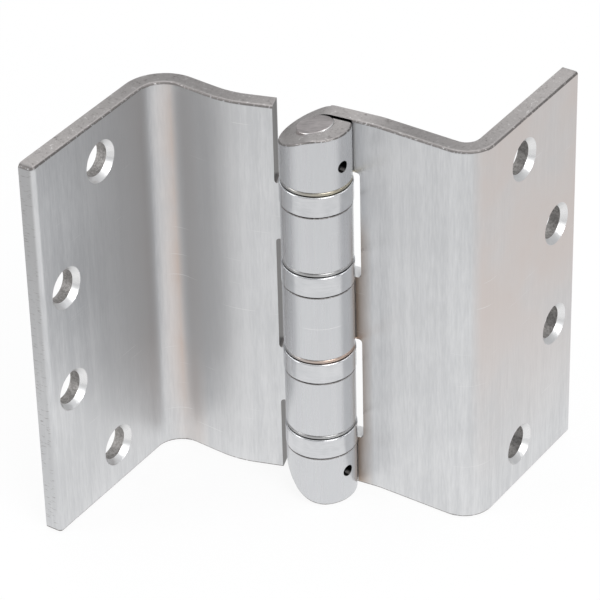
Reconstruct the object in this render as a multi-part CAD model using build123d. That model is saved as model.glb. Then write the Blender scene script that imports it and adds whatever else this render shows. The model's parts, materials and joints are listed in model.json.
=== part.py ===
from build123d import *
import os
from math import cos, radians, sin, sqrt, tan

# Five-knuckle swing clear hinge with four ball bearings, opened flat, in millimetres.
# Each piece is drawn about the pin, which is Z at X = Y = 0, from Z = 0 to the leaf's height.
# Both mounting flanges are parallel to Y, and both legs run mainly along X. The finished
# hinge has its origin on the back of the frame leaf's flange, amid the screw holes.

# Sheet and pin
leaf_height = 114.3
leaf_thickness = 4.57
edge_roll = 0.85
frame_free_roll = 0.9
door_free_roll = 1.4
pin_diameter = 9.525
bore_clearance = 0.05

# Barrel divisions: the middle knuckle takes what is left
bearing_height = 7.55
door_knuckle_height = 16.9
end_knuckle_height = 15.375
knuckle_rim_round = 0.25

# Frame leaf, right of the barrel. Lift is its slope at the barrel, lean the slope of its leg.
frame_lift = 7.0
frame_lean = 0.0
frame_leg_back = 11.1
frame_swage_radius = 22.0
frame_bend_radius = 4.0
frame_flange_back = 39.3
frame_flange_end = 56.6
frame_notch_reach = 10.0

# Door leaf, left of the barrel, with its sizes as seen in a mirror
door_lift = -18.4
door_lean = 3.0
door_leg_back = 1.35
door_swage_radius = 24.0
door_bend_radius = 7.1
door_flange_back = 51.7
door_flange_end = 55.0
door_notch_reach = 12.5

# Curled knuckles and the notches between them
curl_gap = 0.8
curl_corner_round = 1.2
notch_corner_round = 1.0

# Screw holes, one template for both leaves
hole_diameter = 9.1
countersink_diameter = 11.8
countersink_angle = 82.0
outer_hole_height = 12.3
inner_hole_spacing = 31.75
outer_hole_inset = 27.2
inner_hole_inset = 9.95

# Sloped barrel ends: a flat that rolls off into a plane, away from the frame leaf. The place
# where the roll starts lies beyond the pin.
slope_heading = 195.0
slope_rim_round = 0.6
top_slope_angle = 26.5
top_slope_radius = 8.0
top_slope_start = -3.0
bottom_slope_angle = 52.0
bottom_slope_radius = 12.0
bottom_slope_start = -4.2
tip_length = 6.5
tip_tilt = 11.0
tip_drop = 0.55
tip_rim_round = 0.35
pin_end_gap = 0.1
pin_chamfer = 0.6

# Set screws, which hold the pin in the two end knuckles
set_screw_diameter = 3.2
set_screw_clearance = 0.05
set_screw_inset = 9.4
set_screw_heading = -9.5
set_screw_recess = 1.6
set_screw_seat_gap = 0.04
set_screw_point_diameter = 1.9
set_screw_point_length = 0.7
socket_width = 1.6
socket_depth = 1.3

# Ball bearings, one between each pair of knuckles
shell_radius = 9.6
shell_wall = 0.95
shell_floor = 0.6
shell_height = 6.3
shell_edge_round = 0.35
shell_foot_radius = 8.9
shell_foot_height = 0.32
lip_radius = 9.3
lip_gap = 0.12
lip_edge_round = 0.45
race_bore_clearance = 0.4
race_wall_clearance = 0.1
race_thickness = 1.8
groove_depth = 0.35
groove_clearance = 0.08
ball_diameter = 2.4
ball_count = 12
ball_clearance = 0.03
cage_thickness = 0.9
cage_clearance = 0.15
pocket_clearance = 0.06

# Derived sizes
pin_radius = pin_diameter / 2
bore_radius = pin_radius + bore_clearance
barrel_radius = bore_radius + leaf_thickness
knuckle_5_top = end_knuckle_height
knuckle_4_bottom = knuckle_5_top + bearing_height
knuckle_4_top = knuckle_4_bottom + door_knuckle_height
knuckle_3_bottom = knuckle_4_top + bearing_height
knuckle_3_top = leaf_height - knuckle_3_bottom
knuckle_2_bottom = leaf_height - knuckle_4_top
knuckle_2_top = leaf_height - knuckle_4_bottom
knuckle_1_bottom = leaf_height - knuckle_5_top
outer_hole_spacing = leaf_height - 2 * outer_hole_height
half_sheet = leaf_thickness / 2
origin = Vector(frame_flange_back, frame_flange_end - outer_hole_inset, leaf_height / 2)
mid_height = Plane.XY.offset(leaf_height / 2)
cut_reach = 4 * barrel_radius


def toward(heading, length=1.0):
    return Vector(cos(radians(heading)), sin(radians(heading))) * length


def bent_sheet(start, heading, moves):
    """Face of a bent sheet and the line of its right side. The midline starts at a point with
    a heading, and each move is a straight length, a turn (left is positive) and the radius
    inside the bend."""
    sides = []
    for side in (half_sheet, -half_sheet):
        place = start
        aim = heading
        edges = []
        for length, turn, inside in moves:
            shift = toward(aim + 90, side)
            after = place + toward(aim, length)
            edges.append(Line(place + shift, after + shift))
            place = after
            if turn:
                hand = 1 if turn > 0 else -1
                out = aim - 90 * hand
                centre = place - toward(out, inside + half_sheet)
                reach = inside + half_sheet - hand * side
                edges.append(ThreePointArc(centre + toward(out, reach),
                                           centre + toward(out + turn / 2, reach),
                                           centre + toward(out + turn, reach)))
                place = centre + toward(out + turn, inside + half_sheet)
                aim += turn
        sides.append(edges)
    left, right = sides
    caps = [Line(left[0] @ 0, right[0] @ 0), Line(left[-1] @ 1, right[-1] @ 1)]
    return make_face(left + right + caps), Wire(right)


def leaf_sheet(lift, lean, hand, leg_back, swage_radius, bend_radius, flange_back, flange_end):
    """Bent sheet of a leaf with its leg along +X, its flange along +Y (hand 1) or -Y (hand -1)."""
    start = toward(lift + 90, barrel_radius - half_sheet)
    slope = radians(lift)
    rest = radians(lean)
    swage_turn = lean - lift
    swage_mid = (swage_radius + half_sheet) * (1 if swage_turn > 0 else -1)
    bend_mid = bend_radius + half_sheet
    leg_mid = leg_back - half_sheet / cos(rest)
    flange_mid = flange_back + hand * half_sheet
    rise = leg_mid - start.Y - swage_mid * (cos(slope) - cos(rest))
    to_swage = rise / sin(slope)
    swage_end = start.X + to_swage * cos(slope) + swage_mid * (sin(rest) - sin(slope))
    to_bend = (flange_mid - swage_end - bend_mid * (1 - hand * sin(rest))) / cos(rest)
    bend_end = leg_mid + to_bend * sin(rest) + hand * bend_mid * cos(rest)
    to_free_end = flange_end - hand * bend_end
    return bent_sheet(start, lift, [(to_swage, swage_turn, swage_radius),
                                    (to_bend, 90 * hand - lean, bend_radius),
                                    (to_free_end, 0, 0)])


def rolled_plate(sheet, front, free_roll):
    """The sheet at full height, with the edges round its front face rolled over."""
    plate = extrude(sheet, leaf_height)
    level = []
    for edge in plate.edges():
        middle = edge @ 0.5
        if abs((edge % 0.5).Z) < 0.5 and front.distance_to(Vector(middle.X, middle.Y)) < 0.01:
            level.append(edge)
    plate = fillet(level, edge_roll)
    corner = front @ 1 + Vector(0, 0, leaf_height / 2)
    return fillet(plate.edges().sort_by_distance(corner)[0], free_roll)


def notch(lift, reach, bottom, top):
    """Cutter for one notch, square to the leaf where it leaves the barrel."""
    block = Pos(reach - cut_reach, 0, (bottom + top) / 2) * Box(2 * cut_reach, 2 * cut_reach,
                                                                top - bottom)
    inner = block.edges().filter_by(Axis.Y).group_by(Axis.X)[-1]
    return Rot(0, 0, lift) * fillet(inner, notch_corner_round)


def knuckle(lift, bottom, top):
    """A curled knuckle, whose end stops one gap short of the leaf's front face."""
    curl_end = bore_radius - curl_gap
    gap = Pos(cut_reach / 2, bore_radius - curl_gap / 2) * Rectangle(cut_reach, curl_gap)
    section = Rot(0, 0, lift) * (Circle(barrel_radius) - Circle(bore_radius) - gap)
    corner = Rot(0, 0, lift) * Pos(sqrt(barrel_radius ** 2 - curl_end ** 2), curl_end)
    section = fillet(section.vertices().sort_by_distance(corner.position)[0], curl_corner_round)
    curl = Pos(0, 0, bottom) * extrude(section, top - bottom)
    return fillet(rim_edges(curl, barrel_radius), knuckle_rim_round)


def rim_edges(solid, radius):
    """Edges that go round Z at a radius, level or sloping."""
    found = []
    for edge in solid.edges():
        spots = [edge @ share for share in (0.1, 0.5, 0.9)]
        on_rim = all(abs(sqrt(spot.X ** 2 + spot.Y ** 2) - radius) < 0.02 for spot in spots)
        if on_rim and abs((edge % 0.5).Z) < 0.95:
            found.append(edge)
    return found


def slope_cutter(angle, radius, start):
    """All that lies above a sloped top end of the barrel."""
    centre = Vector(start, -radius)
    crest = [centre + toward(90 - turn, radius) for turn in (0, angle / 2, angle)]
    foot = crest[2] + toward(-angle, cut_reach)
    outline = [Line((-cut_reach, cut_reach), (-cut_reach, 0)), Line((-cut_reach, 0), crest[0]),
               ThreePointArc(*crest), Line(crest[2], foot),
               Line(foot, (foot.X, cut_reach)), Line((foot.X, cut_reach), (-cut_reach, cut_reach))]
    block = extrude(Plane.XZ * make_face(outline), cut_reach, both=True)
    return Rot(0, 0, slope_heading) * Pos(0, 0, leaf_height) * block


def turned_over(piece):
    """A piece of the top end, mirrored to the bottom end."""
    return mirror(piece, about=mid_height)


def end_knuckle(above):
    """The top knuckle, cut to its slope."""
    curl = knuckle(frame_lift, knuckle_1_bottom, leaf_height + 2 * knuckle_rim_round) - above
    slope_rim = [edge for edge in rim_edges(curl, barrel_radius)
                 if (edge @ 0.5).Z > knuckle_1_bottom + barrel_radius / 4]
    return fillet(slope_rim, slope_rim_round)


def screw_hole():
    """Cutter for one countersunk hole, into a face that looks along +X at X = 0."""
    sink_depth = (countersink_diameter - hole_diameter) / 2 / tan(radians(countersink_angle / 2))
    outline = Polyline((-cut_reach, 0), (-cut_reach, hole_diameter / 2),
                       (-sink_depth, hole_diameter / 2), (0, countersink_diameter / 2),
                       (leaf_thickness, countersink_diameter / 2), (leaf_thickness, 0),
                       close=True)
    return revolve(make_face(outline), Axis.X)


def screw_holes(face, free_end, inward):
    """The four screw holes of a flange whose front lies at X = face."""
    holes = []
    for inset, spacing in ((outer_hole_inset, outer_hole_spacing),
                           (inner_hole_inset, inner_hole_spacing)):
        for side in (-1, 1):
            height = leaf_height / 2 + side * spacing / 2
            holes.append(Pos(face, free_end + inward * inset, height) * screw_hole())
    return holes


def frame_leaf():
    plate = rolled_plate(*leaf_sheet(frame_lift, frame_lean, 1, frame_leg_back,
                                     frame_swage_radius, frame_bend_radius,
                                     frame_flange_back, frame_flange_end), frame_free_roll)
    for bottom, top in ((knuckle_5_top, knuckle_3_bottom), (knuckle_3_top, knuckle_1_bottom)):
        plate -= notch(frame_lift, frame_notch_reach, bottom, top)
    plate -= above_top
    plate -= turned_over(above_bottom)
    leaf = plate + knuckle(frame_lift, knuckle_3_bottom, knuckle_3_top)
    leaf += end_knuckle(above_top)
    leaf += turned_over(end_knuckle(above_bottom))
    leaf -= at_set_screw(set_screw_bore())
    leaf -= turned_over(at_set_screw(set_screw_bore()))
    for hole in screw_holes(frame_flange_back + leaf_thickness, frame_flange_end, -1):
        leaf -= hole
    return leaf


def door_leaf():
    plate = rolled_plate(*leaf_sheet(door_lift, door_lean, -1, door_leg_back,
                                     door_swage_radius, door_bend_radius,
                                     door_flange_back, door_flange_end), door_free_roll)
    for bottom, top in ((-cut_reach, knuckle_4_bottom), (knuckle_4_top, knuckle_2_bottom),
                        (knuckle_2_top, leaf_height + cut_reach)):
        plate -= notch(door_lift, door_notch_reach, bottom, top)
    leaf = plate + knuckle(door_lift, knuckle_4_bottom, knuckle_4_top)
    leaf += knuckle(door_lift, knuckle_2_bottom, knuckle_2_top)
    leaf = mirror(leaf, about=Plane.YZ)
    for hole in screw_holes(leaf_thickness - door_flange_back, -door_flange_end, 1):
        leaf -= hole
    return leaf


def hinge_pin():
    length = leaf_height - 2 * (tip_length + pin_end_gap)
    pin = Pos(0, 0, leaf_height / 2) * Cylinder(pin_radius, length)
    return chamfer(rim_edges(pin, pin_radius), pin_chamfer)


def tilted_cutter():
    """All that lies above the flat face of the top tip, which tilts less than the slope."""
    above = Rot(0, tip_tilt, 0) * Pos(0, 0, cut_reach / 2) * Box(cut_reach, cut_reach, cut_reach)
    return Rot(0, 0, slope_heading) * Pos(0, 0, leaf_height - tip_drop) * above


def tip(above):
    """Plug that closes the top end of the barrel, cut to its outer face."""
    plug = Pos(0, 0, leaf_height) * Cylinder(pin_radius, 2 * tip_length) - above
    return fillet(rim_edges(plug, pin_radius), tip_rim_round)


def at_set_screw(shape):
    """Lays a shape that runs along +X from the pin's axis along the top set screw."""
    return Pos(0, 0, leaf_height - set_screw_inset) * Rot(0, 0, set_screw_heading) * shape


def set_screw_bore():
    radius = set_screw_diameter / 2 + set_screw_clearance
    bore = Cylinder(radius, cut_reach, align=(Align.CENTER, Align.CENTER, Align.MIN))
    return Rot(0, 90, 0) * bore


def set_screw():
    """Cup-pointed set screw with a hexagon socket, its point just off the pin."""
    seat = pin_radius + set_screw_seat_gap
    head = barrel_radius - set_screw_recess
    outline = Polyline((seat, 0), (seat, set_screw_point_diameter / 2),
                       (seat + set_screw_point_length, set_screw_diameter / 2),
                       (head, set_screw_diameter / 2), (head, 0), close=True)
    screw = revolve(make_face(outline), Axis.X)
    hexagon = RegularPolygon(socket_width / 2, 6, major_radius=False)
    socket = extrude(hexagon, socket_depth + set_screw_recess)
    return screw - Pos(head - socket_depth, 0, 0) * Rot(0, 90, 0) * socket


def ring(inner, outer, bottom, top):
    section = Pos((inner + outer) / 2, (bottom + top) / 2) * Rectangle(outer - inner, top - bottom)
    return revolve(Plane.XZ * section, Axis.Z)


def bearing():
    """Pieces of one ball bearing, on the top of the knuckle below it at Z = 0."""
    bore = pin_radius + race_bore_clearance
    shell_bore = shell_radius - shell_wall
    race_radius = shell_bore - race_wall_clearance
    pitch_radius = (bore + race_radius) / 2
    ball_radius = ball_diameter / 2
    lower_face = shell_floor + race_thickness
    ball_height = lower_face - groove_depth + ball_clearance + ball_radius
    upper_face = 2 * ball_height - lower_face

    shell = ring(bore, shell_radius, 0, shell_height)
    shell -= ring(0, shell_bore, shell_floor, shell_height + shell_floor)
    shell -= ring(shell_foot_radius, 2 * shell_radius, -shell_foot_height, shell_foot_height)
    shell = fillet(rim_edges(shell, shell_radius), shell_edge_round)

    groove_height = lower_face - groove_depth + ball_radius + groove_clearance
    groove = revolve(Plane.XZ * Pos(pitch_radius, groove_height)
                     * Circle(ball_radius + groove_clearance), Axis.Z)
    lower_race = ring(bore, race_radius, shell_floor, lower_face) - groove

    upper_race = ring(bore, race_radius, upper_face, bearing_height)
    upper_race += ring(bore, lip_radius, shell_height + lip_gap, bearing_height)
    upper_race -= Pos(0, 0, 2 * (ball_height - groove_height)) * groove
    upper_race = fillet(rim_edges(upper_race, lip_radius), lip_edge_round)

    cage = ring(bore + cage_clearance, shell_bore - cage_clearance,
                ball_height - cage_thickness / 2, ball_height + cage_thickness / 2)
    balls = []
    for place in PolarLocations(pitch_radius, ball_count):
        cage -= place * Pos(0, 0, ball_height) * Cylinder(ball_radius + pocket_clearance,
                                                          2 * cage_thickness)
        balls.append(place * Pos(0, 0, ball_height) * Sphere(ball_radius))
    return {"bearing_shell": shell, "lower_race": lower_race, "upper_race": upper_race,
            "ball_cage": cage, "bearing_balls": Compound(balls)}


above_top = slope_cutter(top_slope_angle, top_slope_radius, top_slope_start)
above_bottom = slope_cutter(bottom_slope_angle, bottom_slope_radius, bottom_slope_start)
nodes = {"frame_leaf": frame_leaf(), "door_leaf": door_leaf(), "hinge_pin": hinge_pin(),
         "top_tip": tip(tilted_cutter()), "bottom_tip": turned_over(tip(above_bottom)),
         "top_set_screw": at_set_screw(set_screw()),
         "bottom_set_screw": turned_over(at_set_screw(set_screw()))}
bearing_seats = (knuckle_2_top, knuckle_3_top, knuckle_4_top, knuckle_5_top)
for name, piece in bearing().items():
    for number, seat in enumerate(bearing_seats, start=1):
        nodes[f"{name}_{number}"] = Pos(0, 0, seat) * piece

os.makedirs("parts", exist_ok=True)
for name, piece in nodes.items():
    export_step(Pos(-origin) * piece, f"parts/{name}.step")
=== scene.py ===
import json
import math

import bpy
from mathutils import Matrix, Vector


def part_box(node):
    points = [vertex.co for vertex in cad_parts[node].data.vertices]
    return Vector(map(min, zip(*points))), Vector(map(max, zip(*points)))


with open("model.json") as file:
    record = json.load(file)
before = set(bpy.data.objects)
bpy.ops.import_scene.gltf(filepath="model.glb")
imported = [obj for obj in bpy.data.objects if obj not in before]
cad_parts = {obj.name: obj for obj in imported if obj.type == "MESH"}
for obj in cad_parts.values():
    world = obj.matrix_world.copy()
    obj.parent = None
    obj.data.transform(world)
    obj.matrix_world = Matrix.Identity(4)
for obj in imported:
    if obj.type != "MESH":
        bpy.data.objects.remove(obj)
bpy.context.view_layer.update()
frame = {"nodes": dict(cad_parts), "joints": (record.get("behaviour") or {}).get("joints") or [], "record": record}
nodes = frame["nodes"]
pinAxis = Vector(frame["joints"][0]["pos_m"])
floorHeight = min(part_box(name)[0].z for name in nodes)
print("frame loaded:", len(nodes), "nodes")

mmPerMetre = 1000
levelPart = (1, 1, 0)    # keeps the level part of a vector
facePart = (0, 1, 1)     # keeps the part that lies in a flange's face
white = (1, 1, 1, 1)


# Node helpers

def newMaterial(name):
    material = bpy.data.materials.new(name)
    material.use_nodes = True
    material.node_tree.nodes.clear()
    return material


# An input that is given a socket is linked to it, and any other value is set.
def addNode(owner, kind, inputs=None, **settings):
    node = owner.node_tree.nodes.new(kind)
    for key, value in settings.items():
        setattr(node, key, value)
    for key, value in (inputs or {}).items():
        if isinstance(value, bpy.types.NodeSocket):
            owner.node_tree.links.new(value, node.inputs[key])
        else:
            node.inputs[key].default_value = value
    return node


def objectPlace(material, stretch=(1, 1, 1), move=(0, 0, 0)):
    coordinate = addNode(material, "ShaderNodeTexCoord")
    mapping = addNode(material, "ShaderNodeMapping", {
        "Vector": coordinate.outputs["Object"], "Location": move, "Scale": stretch})
    return mapping.outputs["Vector"]


def surfaceNormal(material):
    return addNode(material, "ShaderNodeTexCoord").outputs["Normal"]


def split(material, vector):
    parts = addNode(material, "ShaderNodeSeparateXYZ", {"Vector": vector})
    return [parts.outputs[axis] for axis in "XYZ"]


def mathNode(material, operation, first, second=0.0):
    node = addNode(material, "ShaderNodeMath", {0: first, 1: second}, operation=operation)
    return node.outputs[0]


def vectorNode(material, operation, first, second=(0, 0, 0), output="Vector"):
    node = addNode(material, "ShaderNodeVectorMath", {0: first, 1: second}, operation=operation)
    return node.outputs[output]


def lengthOf(material, vector):
    return vectorNode(material, "LENGTH", vector, output="Value")


# The way from a point to the shaded place, with only the kept directions in it.
def wayFrom(material, place, point, kept):
    return vectorNode(material, "MULTIPLY", vectorNode(material, "SUBTRACT", place, point), kept)


def apart(material, first, second):
    return mathNode(material, "ABSOLUTE", mathNode(material, "SUBTRACT", first, second))


def times(material, *values):
    product = values[0]
    for value in values[1:]:
        product = mathNode(material, "MULTIPLY", product, value)
    return product


def weightedSum(material, start, *parts):
    total = start
    for value, share in parts:
        total = mathNode(material, "ADD", total, times(material, value, share))
    return total


# Zero at the first limit and beyond it, one at the second and beyond it.
def band(material, value, limits):
    node = addNode(material, "ShaderNodeMapRange", {
        "Value": value, "From Min": limits[0], "From Max": limits[1]})
    return node.outputs["Result"]


# One in the inner third of a reach about a middle, zero beyond the reach.
def closeTo(material, value, middle, reach):
    return band(material, apart(material, value, middle), (reach, reach / 3))


def noise(material, detail, roughness=0.5, scale=1.0, stretch=(1, 1, 1), move=(0, 0, 0)):
    node = addNode(material, "ShaderNodeTexNoise", {
        "Vector": objectPlace(material, stretch, move), "Scale": scale,
        "Detail": detail, "Roughness": roughness})
    return node.outputs["Fac"]


def ramp(material, factor, levels, colours):
    node = addNode(material, "ShaderNodeValToRGB", {"Fac": factor})
    elements = node.color_ramp.elements
    while len(elements) < len(levels):
        elements.new(0.5)
    for element, level, colour in zip(elements, levels, colours):
        element.position = level
        element.color = colour
    return node.outputs["Color"]


def mixColour(material, factor, first, second):
    node = addNode(material, "ShaderNodeMix", {0: factor, 6: first, 7: second}, data_type="RGBA")
    return node.outputs[2]      # 6, 7 and 2 are this node's colour sockets


def bump(material, height, strength, depth, below=None):
    inputs = {"Height": height, "Strength": strength, "Distance": depth}
    if below is not None:
        inputs["Normal"] = below
    return addNode(material, "ShaderNodeBump", inputs).outputs["Normal"]


def finishMetal(material, inputs):
    shader = addNode(material, "ShaderNodeBsdfPrincipled", {"Metallic": 1.0, **inputs})
    addNode(material, "ShaderNodeOutputMaterial", {"Surface": shader.outputs["BSDF"]})


# Parts of a leaf, told by their place and the way they face. Each pair is where a mask is zero
# and where it is one, in metres or as a share of the normal.
leafLimits = {
    "barrel": (0.0098, 0.0094),
    "pastBarrel": (0.0094, 0.0098),
    "bore": (0.0094, 0.0092),
    "boreFacing": (0.6, 0.3),
    "boreUpright": (0.8, 0.6),
    "freeEnd": (0.0009, 0.0002),
    "freeEndFacing": (0.6, 0.2),
    "notch": (0.017, 0.015),
    "notchFacing": (-0.5, -0.8),
    "notchEnd": (0.0160, 0.0155),
    "hole": (0.0065, 0.0063),
    "holeConeFlattest": (0.96, 0.9),
    "holeConeSteepest": (0.3, 0.5),
    "holeWallFacing": (0.3, 0.2),
    "flatFacing": (0.93, 0.995),
    "betweenEnds": (0.0545, 0.0535),
    "levelFacing": (0.94, 0.99),
    "curlEndOuter": (0.97, 0.90),
    "curlEndInner": (0.30, 0.45),
    "curlEndUpright": (0.3, 0.1),
}


def holeCentres(prefix):
    centres = []
    for mount in frame["record"]["mounts"]:
        if mount["name"].startswith(prefix + "_screws"):
            x, y, z = mount["pos_m"]
            half = mount["dims"]["spacing_y_mm"] / (2 * mmPerMetre)
            centres += [Vector((x, y, z - half)), Vector((x, y, z + half))]
    return centres


def leafMasks(material, place, centres, freeEnd):
    def limited(value, name):
        return band(material, value, leafLimits[name])

    x, y, z = split(material, place)
    normal = surfaceNormal(material)
    sideways, along, upDown = (
        mathNode(material, "ABSOLUTE", part) for part in split(material, normal))
    fromPin = wayFrom(material, place, pinAxis, levelPart)
    reach = lengthOf(material, fromPin)
    outward = vectorNode(material, "DOT_PRODUCT", vectorNode(material, "NORMALIZE", fromPin),
                         normal, output="Value")
    nearest = None
    for centre in centres:
        distance = lengthOf(material, wayFrom(material, place, centre, facePart))
        nearest = distance if nearest is None else mathNode(
            material, "MINIMUM", nearest, distance)

    barrel = limited(reach, "barrel")
    pastBarrel = limited(reach, "pastBarrel")
    nearHole = limited(nearest, "hole")
    cutLevel = times(material, limited(mathNode(material, "ABSOLUTE", z), "betweenEnds"),
                     limited(upDown, "levelFacing"))
    return {
        "x": x, "z": z, "reach": reach, "upDown": upDown, "nearest": nearest, "barrel": barrel,
        "flat": limited(mathNode(material, "MAXIMUM", sideways, along), "flatFacing"),
        "freeFace": times(material, limited(apart(material, y, freeEnd), "freeEnd"),
                          limited(sideways, "freeEndFacing")),
        # painted shade on the notch faces that turn toward the barrel
        "shadedNotchFace": times(material, limited(reach, "notch"), pastBarrel,
                           limited(outward, "notchFacing")),
        "notchEnd": times(material, cutLevel, limited(reach, "notchEnd"), pastBarrel),
        # painted shadow: the knuckle end faces at the seams between knuckles
        "shadedSeam": times(material, barrel, cutLevel),
        "machined": times(material, nearHole, limited(sideways, "holeConeFlattest"),
                          limited(sideways, "holeConeSteepest")),
        "drilled": times(material, nearHole, limited(sideways, "holeWallFacing")),
        # painted shade: the bore inside the knuckles and the gap beside it
        "inside": times(material, limited(reach, "bore"), limited(outward, "boreFacing"),
                        limited(upDown, "boreUpright")),
        "curlEnd": times(material, barrel, limited(outward, "curlEndOuter"),
                         limited(outward, "curlEndInner"), limited(upDown, "curlEndUpright")),
    }


# Stainless sheet of both leaves

sheetSteel = {
    "coolColour": (0.648, 0.655, 0.667, 1),
    "paleColour": (0.762, 0.767, 0.777, 1),
    # painted shade for the flat faces close to the inner corner of the L
    "cornerColour": (0.575, 0.573, 0.577, 1),
    "barrelColour": (0.630, 0.638, 0.654, 1),
    "barrelPale": (0.680, 0.688, 0.704, 1),
    "stainColour": (0.430, 0.355, 0.300, 1),
    "scratchColour": (0.860, 0.860, 0.860, 1),
    "edgeDark": (0.240, 0.225, 0.218, 1),
    "edgeColour": (0.455, 0.434, 0.425, 1),
    "edgePale": (0.740, 0.725, 0.715, 1),
    "freeColour": (0.470, 0.470, 0.475, 1),
    "notchShadeColour": (0.160, 0.155, 0.152, 1),
    "drilledDark": (0.250, 0.240, 0.232, 1),
    "drilledPale": (0.450, 0.435, 0.422, 1),
    "machinedColour": (0.820, 0.820, 0.820, 1),
    # near black, painted as shade in the bore and at the knuckle seams
    "insideColour": (0.020, 0.020, 0.022, 1),
    "glintColour": (1.0, 0.985, 0.970, 1),
    # textures
    "grain": {"stretch": (1700, 1700, 190), "detail": 3, "roughness": 0.6},  # up the leaf
    "streak": {"stretch": (420, 420, 14), "detail": 2},
    "mottle": {"scale": 38, "detail": 3, "roughness": 0.55},
    "speckle": {"scale": 1500, "detail": 3, "roughness": 0.7},
    "fleck": {"scale": 520, "detail": 3, "roughness": 0.6},
    "dash": {"stretch": (450, 450, 2600), "detail": 2},                      # across the free end
    "scratch": {"stretch": (50, 50, 2600), "detail": 1, "move": (0.3, 0.1, 0.7)},
    # levels of a texture or a normal at which a colour is reached, or a mask is zero and one
    "sheetLevels": (0.41, 0.59),
    "edgeLevels": (0.32, 0.45, 0.57, 0.68),
    "wallLevels": (0.35, 0.65),
    "scratchLevels": (0.745, 0.775),
    "dashLevels": (0.60, 0.68),
    "warmLevels": (0.1, 0.55),
    "stainLevels": (0.0, 0.4),
    "shearedFacing": (0.50, 0.80),
    "burrOuter": (0.16, 0.34),
    "burrInner": (0.90, 0.76),
    "burrLevels": (0.64, 0.56),
    # places in metres where a mask is zero and one
    "cornerReach": (0.040, 0.006),
    "cornerHeights": (-0.060, -0.020),
    "stainReach": (0.0140, 0.0100),
    "freeHeights": (-0.055, 0.030),
    # shares
    "grainShare": 0.35,
    "streakShare": 0.35,
    "mottleShare": 0.30,
    "speckleShare": 0.6,
    "fleckShare": 0.4,
    "scratchShare": 0.6,
    "dashShare": 0.55,
    "freeShare": 0.85,
    # surface
    "roughness": 0.30,
    "streakRoughness": 0.14,
    "coarseRoughness": 0.18,
    "barrelRoughness": -0.10,
    "machinedRoughness": -0.17,
    "brushing": 0.6,
    "grainBump": (0.10, 0.0001),         # strength, and depth in metres
    "ringBump": (0.02, 0.00005),
    "speckleBump": (0.35, 0.0003),
    "ringAngle": 16000,                  # radians a metre in the turned rings of a countersink
}


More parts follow.
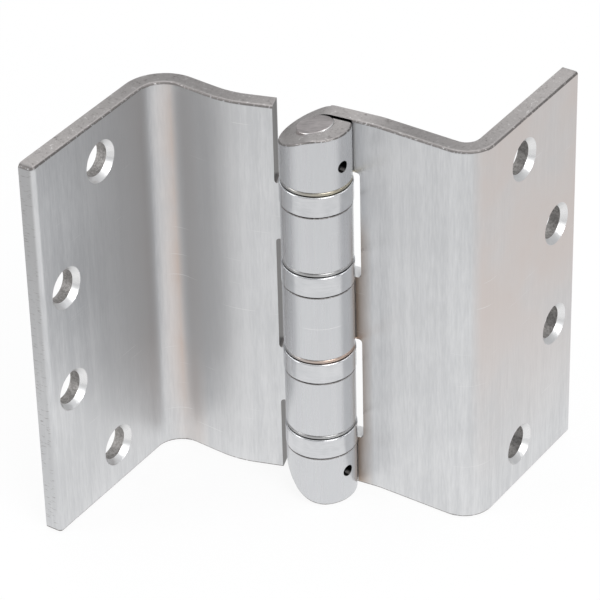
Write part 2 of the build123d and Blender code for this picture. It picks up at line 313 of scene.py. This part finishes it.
def makeSheetSteel(name, centres, freeEnd, wearAndShade):
    material = newMaterial(name)
    look = sheetSteel
    place = objectPlace(material)
    mask = leafMasks(material, place, centres, freeEnd)
    grain = noise(material, **look["grain"])
    streak = noise(material, **look["streak"])
    mottle = noise(material, **look["mottle"])
    speckle = noise(material, **look["speckle"])

    tone = weightedSum(material, 0.0, (grain, look["grainShare"]),
                       (streak, look["streakShare"]), (mottle, look["mottleShare"]))
    colour = ramp(material, tone, look["sheetLevels"], (look["coolColour"], look["paleColour"]))
    warmth = times(material, closeTo(material, mask["x"], wearAndShade["warmX"], wearAndShade["warmWidth"]),
                   closeTo(material, mask["z"], wearAndShade["warmZ"], wearAndShade["warmHeight"]),
                   band(material, mottle, look["warmLevels"]))
    layers = [(warmth, wearAndShade["warmColour"])]      # share and colour of each layer, lowest first
    # Painted shade: the flat faces darker close to the inner corner of the L, fading out towards the bottom.
    if "corner" in wearAndShade:
        fromCorner = lengthOf(material, wayFrom(material, place, wearAndShade["corner"], levelPart))
        corner = times(material, band(material, fromCorner, look["cornerReach"]), mask["flat"],
                       band(material, mask["z"], look["cornerHeights"]))
        layers.append((corner, look["cornerColour"]))
    if "stainHeights" in wearAndShade:
        stain = times(material, band(material, mask["reach"], look["stainReach"]),
                      band(material, mask["z"], wearAndShade["stainHeights"]),
                      band(material, mottle, look["stainLevels"]))
        layers.append((stain, look["stainColour"]))

    barrelTint = mixColour(material, grain, look["barrelColour"], look["barrelPale"])
    scratch = times(material, band(material, noise(material, **look["scratch"]),
                                   look["scratchLevels"]), look["scratchShare"])
    fleck = weightedSum(material, 0.0, (speckle, look["speckleShare"]),
                        (noise(material, **look["fleck"]), look["fleckShare"]))
    edge = ramp(material, fleck, look["edgeLevels"], (
        look["edgeDark"], look["edgeColour"], look["edgeColour"], look["edgePale"]))
    wall = ramp(material, speckle, look["wallLevels"], (look["drilledDark"], look["drilledPale"]))
    sheared = band(material, mask["upDown"], look["shearedFacing"])
    burr = times(material, band(material, mask["upDown"], look["burrOuter"]),
                 band(material, mask["upDown"], look["burrInner"]))
    dull = times(material, mask["freeFace"], band(material, mask["z"], look["freeHeights"]),
                 look["freeShare"])
    dashes = times(material, mask["freeFace"], band(material, noise(material, **look["dash"]),
                                                    look["dashLevels"]), look["dashShare"])
    layers += [
        (mask["barrel"], barrelTint),
        (scratch, look["scratchColour"]),
        (sheared, edge),
        (dull, look["freeColour"]),
        (dashes, look["edgeDark"]),
        # painted shade: the notch faces beside the barrel darkened
        (mask["shadedNotchFace"], look["notchShadeColour"]),
        (times(material, burr, band(material, speckle, look["burrLevels"])), look["edgeDark"]),
        (mask["machined"], look["machinedColour"]),
        (mask["drilled"], wall),
        (mask["notchEnd"], look["machinedColour"]),
        # painted shade: near black in the bore and at the knuckle seams
        (mask["inside"], look["insideColour"]),
        (mask["shadedSeam"], look["insideColour"]),
        (mask["curlEnd"], look["glintColour"]),
    ]
    for share, layer in layers:
        colour = mixColour(material, share, colour, layer)

    worn = mathNode(material, "MAXIMUM", sheared, mask["drilled"])
    coarse = mathNode(material, "MAXIMUM", worn, burr)
    roughness = weightedSum(
        material, look["roughness"], (streak, look["streakRoughness"]),
        (coarse, look["coarseRoughness"]), (mask["barrel"], look["barrelRoughness"]),
        (mask["machined"], look["machinedRoughness"]))
    brushed = mathNode(material, "SUBTRACT", 1.0, mask["machined"])
    rings = mathNode(material, "SINE", times(material, mask["nearest"], look["ringAngle"]))
    normal = bump(material, times(material, grain, brushed), *look["grainBump"])
    normal = bump(material, times(material, rings, mask["machined"]), *look["ringBump"], normal)
    normal = bump(material, times(material, speckle, worn), *look["speckleBump"], normal)
    across = addNode(material, "ShaderNodeTangent", direction_type="RADIAL", axis="Z")
    finishMetal(material, {
        "Base Color": colour, "Roughness": roughness, "Normal": normal,
        "Anisotropic": times(material, brushed, look["brushing"]),
        "Tangent": across.outputs["Tangent"]})
    return material


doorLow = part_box("door_leaf")[0]
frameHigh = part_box("frame_leaf")[1]
doorWearAndShade = {
    "warmColour": (0.640, 0.555, 0.510, 1),
    "warmX": doorLow.x + 0.011,
    "warmWidth": 0.006,
    "warmZ": 0.004,
    "warmHeight": 0.085,
    # inner corner of the L, which the painted shade centres on
    "corner": (doorLow.x + 0.0046, pinAxis.y - 0.0048, 0),     # inner corner of the L
}
frameWear = {
    "warmColour": (0.700, 0.642, 0.617, 1),
    "warmX": frameHigh.x,
    "warmWidth": 0.003,
    "warmZ": 0.035,
    "warmHeight": 0.085,
    "stainHeights": (0.030, 0.022),
}


# Turned and polished pieces

turnedMetal = {
    "grain": {"stretch": (260, 260, 3200), "detail": 2},
    "mottle": {"scale": 260, "detail": 2},
    "mottleShare": 0.6,
    "grainShare": 0.4,
    "levels": (0.38, 0.62),
    "mottleRoughness": 0.10,
    "bumpDepth": 0.0001,
}
shellSteel = {
    **turnedMetal,
    "colour": (0.705, 0.711, 0.726, 1), "darkColour": (0.630, 0.638, 0.654, 1),
    "roughness": 0.17, "bumpStrength": 0.05,
    "shadedSeamColour": (0.040, 0.038, 0.038, 1), "shadedSeamReach": (0.0092, 0.0091),
}
raceSteel = {
    **turnedMetal,
    "colour": (0.500, 0.500, 0.500, 1), "darkColour": (0.400, 0.400, 0.400, 1),
    "roughness": 0.24, "bumpStrength": 0.03,
}
sideTint = {"warmShare": 0.8, "warmSide": (pinAxis.x - 0.004, pinAxis.x + 0.008)}
warmRaceSteel = {**raceSteel, **sideTint, "warmColour": (0.470, 0.425, 0.315, 1)}
copperRaceSteel = {**raceSteel, **sideTint, "warmColour": (0.600, 0.440, 0.350, 1)}
tipSteel = {
    **turnedMetal,
    "colour": (0.680, 0.630, 0.620, 1), "darkColour": (0.440, 0.410, 0.402, 1),
    "roughness": 0.24, "bumpStrength": 0.16,
    "grain": {"stretch": (300, 2400, 300), "detail": 2},
    # painted highlight: a white crescent on one side of the tip's rim
    "rimHighlightColour": white, "rimHighlightOuter": (0.90, 0.80), "rimHighlightInner": (0.10, 0.30), "rimHighlightSide": (-0.2, 0.1),
}
pinSteel = {
    **turnedMetal,
    "colour": (0.700, 0.700, 0.700, 1), "darkColour": (0.620, 0.620, 0.620, 1),
    "roughness": 0.20, "bumpStrength": 0.05,
}
ballSteel = {
    **turnedMetal,
    "colour": (0.850, 0.850, 0.850, 1), "darkColour": (0.800, 0.800, 0.800, 1),
    "roughness": 0.03, "bumpStrength": 0.01, "grain": {"stretch": (400, 400, 400), "detail": 2},
}
cageBrass = {
    **turnedMetal,
    "colour": (0.780, 0.600, 0.300, 1), "darkColour": (0.640, 0.480, 0.220, 1),
    "roughness": 0.24, "bumpStrength": 0.05,
    "grain": {"stretch": (1200, 1200, 1200), "detail": 2},
}
blackSteel = {
    **turnedMetal,
    "colour": (0.035, 0.035, 0.037, 1), "darkColour": (0.018, 0.018, 0.020, 1),
    "roughness": 0.30, "bumpStrength": 0.08,
    "grain": {"stretch": (2400, 2400, 2400), "detail": 2},
}


def makeTurnedMetal(name, look):
    material = newMaterial(name)
    place = objectPlace(material)
    grain = noise(material, **look["grain"])
    mottle = noise(material, **look["mottle"])
    tone = weightedSum(material, 0.0, (mottle, look["mottleShare"]), (grain, look["grainShare"]))
    colour = ramp(material, tone, look["levels"], (look["darkColour"], look["colour"]))
    # Painted highlight: a white crescent on one side of the tip's rim.
    if "rimHighlightColour" in look:
        sideways, _, upward = split(material, surfaceNormal(material))
        rimHighlight = times(material, band(material, upward, look["rimHighlightOuter"]),
                    band(material, upward, look["rimHighlightInner"]),
                    band(material, sideways, look["rimHighlightSide"]))
        colour = mixColour(material, rimHighlight, colour, look["rimHighlightColour"])
    # painted shade: near black on the shell close to the pin, at its seams with the knuckles
    if "shadedSeamColour" in look:
        reach = lengthOf(material, wayFrom(material, place, pinAxis, levelPart))
        shadedSeam = band(material, reach, look["shadedSeamReach"])
        colour = mixColour(material, shadedSeam, colour, look["shadedSeamColour"])
    if "warmColour" in look:
        side = band(material, split(material, place)[0], look["warmSide"])
        warmth = times(material, side, look["warmShare"])
        colour = mixColour(material, warmth, colour, look["warmColour"])
    finishMetal(material, {
        "Base Color": colour,
        "Roughness": weightedSum(material, look["roughness"], (mottle, look["mottleRoughness"])),
        "Normal": bump(material, grain, look["bumpStrength"], look["bumpDepth"])})
    return material


# Each node takes the first finish whose key is in its name.
finishes = {
    "door_leaf": makeSheetSteel("doorSheetSteel", holeCentres("door"), doorLow.y, doorWearAndShade),
    "frame_leaf": makeSheetSteel("frameSheetSteel", holeCentres("frame"), frameHigh.y, frameWear),
    "hinge_pin": makeTurnedMetal("pinSteel", pinSteel),
    "tip": makeTurnedMetal("tipSteel", tipSteel),
    "set_screw": makeTurnedMetal("blackScrewSteel", blackSteel),
    "bearing_shell": makeTurnedMetal("shellSteel", shellSteel),
    "upper_race_1": makeTurnedMetal("warmRaceSteel", warmRaceSteel),
    "upper_race_3": makeTurnedMetal("copperRaceSteel", copperRaceSteel),
    "race": makeTurnedMetal("raceSteel", raceSteel),
    "ball_cage": makeTurnedMetal("cageBrass", cageBrass),
    "bearing_balls": makeTurnedMetal("ballSteel", ballSteel),
}
for name, piece in nodes.items():
    kind = next(word for word in finishes if word in name)
    piece.material_slots[0].material = finishes[kind]
print("finishes made:", len(finishes))


# World, floor, lamps and camera

worldLook = {
    "seenColour": white,
    "lightColour": (0.52, 0.525, 0.535, 1),
}


def makeWorld():
    world = bpy.data.worlds.new("studioWorld")
    bpy.context.scene.world = world
    world.use_nodes = True
    world.node_tree.nodes.clear()
    path = addNode(world, "ShaderNodeLightPath")
    lit = addNode(world, "ShaderNodeBackground", {"Color": worldLook["lightColour"]})
    seen = addNode(world, "ShaderNodeBackground", {"Color": worldLook["seenColour"]})
    mix = addNode(world, "ShaderNodeMixShader", {
        0: path.outputs["Is Camera Ray"], 1: lit.outputs[0], 2: seen.outputs[0]})
    addNode(world, "ShaderNodeOutputWorld", {"Surface": mix.outputs[0]})


# The floor glows in the metal's reflections as a painted pool of light, brightest under the pin and dimmer
# outward.
floorLook = {
    "size": 6.0,
    "colour": (0.93, 0.93, 0.93, 1),
    "glowNear": 1.0,         # what the metal mirrors, right under the pin
    "glowFar": 0.80,         # and from glowReach on
    "glowReach": 0.26,
    "glowShare": 0.9,
    "whiteShare": 0.90,      # what the camera sees is mostly plain white
    "whiteStrength": 1.0,
}


def makeFloor():
    bpy.ops.object.select_all(action="DESELECT")
    bpy.ops.mesh.primitive_plane_add(size=floorLook["size"],
                                     location=(pinAxis.x, pinAxis.y, floorHeight))
    floor = bpy.context.object
    floor.name = "studioFloor"
    bpy.ops.object.transform_apply(location=True, rotation=True, scale=True)
    material = newMaterial("paleFloor")
    matte = addNode(material, "ShaderNodeBsdfDiffuse", {"Color": floorLook["colour"]})
    distance = lengthOf(material, wayFrom(material, objectPlace(material), pinAxis, levelPart))
    glow = addNode(material, "ShaderNodeMapRange", {
        "Value": distance, "From Min": 0.0, "From Max": floorLook["glowReach"],
        "To Min": floorLook["glowNear"], "To Max": floorLook["glowFar"]})
    lit = addNode(material, "ShaderNodeEmission", {
        "Color": white, "Strength": glow.outputs["Result"]})
    plain = addNode(material, "ShaderNodeEmission", {
        "Color": white, "Strength": floorLook["whiteStrength"]})
    path = addNode(material, "ShaderNodeLightPath")
    mirrored = addNode(material, "ShaderNodeMixShader", {
        0: times(material, path.outputs["Is Glossy Ray"], floorLook["glowShare"]),
        1: matte.outputs[0], 2: lit.outputs[0]})
    mix = addNode(material, "ShaderNodeMixShader", {
        0: times(material, path.outputs["Is Camera Ray"], floorLook["whiteShare"]),
        1: mirrored.outputs[0], 2: plain.outputs[0]})
    addNode(material, "ShaderNodeOutputMaterial", {"Surface": mix.outputs[0]})
    floor.data.materials.append(material)


softboxes = {
    "keySoftbox": {"place": (1.2, -0.6, 1.1), "size": 1.0, "power": 14},
    "fillSoftbox": {"place": (-1.3, -1.2, 0.8), "size": 1.0, "power": 10},
    "topSoftbox": {"place": (-0.1, 0.2, 1.3), "size": 1.3, "power": 6},
}


# Each softbox points at the pin.
def addSoftbox(name, look):
    lamp = bpy.data.lights.new(name, "AREA")
    lamp.shape = "SQUARE"
    lamp.size = look["size"]
    lamp.energy = look["power"]
    holder = bpy.data.objects.new(name, lamp)
    bpy.context.scene.collection.objects.link(holder)
    holder.location = look["place"]
    aim = pinAxis - Vector(look["place"])
    holder.rotation_euler = aim.to_track_quat("-Z", "Y").to_euler()


# Fitted to the photo
camera = {
    "place": (0.37330, -0.63900, 0.50595),
    "forward": (-0.4674, 0.6808, -0.5640),
    "right": (0.8244, 0.5660, 0.0),
    "roll": -1.5,            # degrees
    "lens": 205.85,
    "sensor": 36.0,
    "clipStart": 0.05,
}


def makeCamera():
    data = bpy.data.cameras.new("photoCamera")
    data.lens = camera["lens"]
    data.sensor_width = camera["sensor"]
    data.sensor_fit = "HORIZONTAL"
    data.clip_start = camera["clipStart"]
    holder = bpy.data.objects.new("photoCamera", data)
    bpy.context.scene.collection.objects.link(holder)
    forward = Vector(camera["forward"]).normalized()
    level = Vector(camera["right"]).normalized()
    above = level.cross(forward)
    turn = math.radians(camera["roll"])
    right = math.cos(turn) * level + math.sin(turn) * above
    up = -math.sin(turn) * level + math.cos(turn) * above
    basis = Matrix((right, up, -forward)).transposed().to_4x4()
    holder.matrix_world = Matrix.Translation(camera["place"]) @ basis
    bpy.context.scene.camera = holder


makeWorld()
makeFloor()
for name, look in softboxes.items():
    addSoftbox(name, look)
makeCamera()
bpy.context.scene.view_settings.view_transform = "Standard"
print("studio ready")
